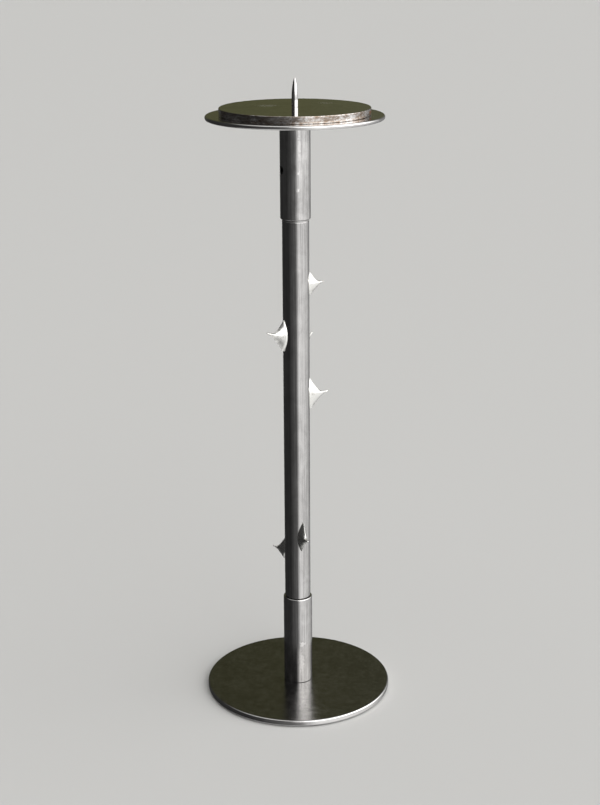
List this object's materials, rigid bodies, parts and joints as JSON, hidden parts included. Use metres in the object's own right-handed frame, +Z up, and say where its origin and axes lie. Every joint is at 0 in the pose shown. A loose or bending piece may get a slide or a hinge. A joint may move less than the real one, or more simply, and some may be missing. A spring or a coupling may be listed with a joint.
{
  "type": "pillar candle holder",
  "caption": "Tall steel pillar candle holder: round base, sleeved stem with rose thorns, drip pan and a spiked candle plate.",
  "frame": {"origin": "on the stem's axis, in the plane of the felt pads' undersides, where the holder stands on a table", "axes": "+Z up along the stem; the pictured front faces -Y, and +X is to the viewer's right"},
  "size_m": [0.145, 0.145, 0.4815],
  "materials": {
    "brushed_steel": "raw steel, brushed along the stem",
    "dark_steel": "raw steel, turned and lacquered, satin",
    "turned_steel": "turned steel, polished",
    "plain_steel": "plain turned bar",
    "black_steel": "black oxide",
    "polished_silver": "cast silver, filed and polished",
    "brass_tip": "turned brass",
    "felt": "black wool felt"
  },
  "bodies": {
    "foot": {"base_plate": "dark_steel", "felt_pad_1": "felt", "felt_pad_2": "felt", "felt_pad_3": "felt", "felt_pad_4": "felt", "base_screw": "plain_steel", "lower_plug": "plain_steel", "lower_sleeve": "brushed_steel"},
    "lower_joint": {"lower_joiner": "plain_steel"},
    "stem": {"stem_tube": "brushed_steel", "thorn_1": "polished_silver", "thorn_2": "polished_silver", "thorn_3": "polished_silver", "thorn_4": "polished_silver", "thorn_5": "polished_silver", "thorn_6": "polished_silver"},
    "upper_joint": {"upper_joiner": "plain_steel"},
    "head": {"upper_sleeve": "brushed_steel", "upper_plug": "plain_steel", "drip_pan": "dark_steel", "candle_plate": "dark_steel", "spike": "turned_steel"},
    "screw_tip": {"grub_tip": "brass_tip"},
    "screw": {"grub_screw": "black_steel"}
  },
  "joints": [
    {"name": "stem_turn", "type": "hinge", "parent": "foot", "child": "lower_joint", "pos_m": [0, 0, 0.0775], "axis": [0, 0, 1], "continuous": true},
    {"name": "stem_lift", "type": "slide", "parent": "lower_joint", "child": "stem", "axis": [0, 0, 1], "range_m": [0, 0.034]},
    {"name": "head_turn", "type": "hinge", "parent": "stem", "child": "upper_joint", "pos_m": [0, 0, 0.3795], "axis": [0, 0, 1], "continuous": true},
    {"name": "head_lift", "type": "slide", "parent": "upper_joint", "child": "head", "axis": [0, 0, 1], "range_m": [0, 0.06]},
    {"name": "grub_travel", "type": "slide", "parent": "head", "child": "screw_tip", "axis": [-0.9063, -0.4226, 0], "range_m": [0, 0.002]},
    {"name": "grub_turn", "type": "hinge", "parent": "screw_tip", "child": "screw", "pos_m": [-0.00906, -0.00423, 0.4157], "axis": [-0.9063, -0.4226, 0], "range_deg": [0, 720]}
  ],
  "couplings": [
    {"joint": "grub_turn", "follows": "grub_travel", "rad_per_m": 6283.2}
  ]
}
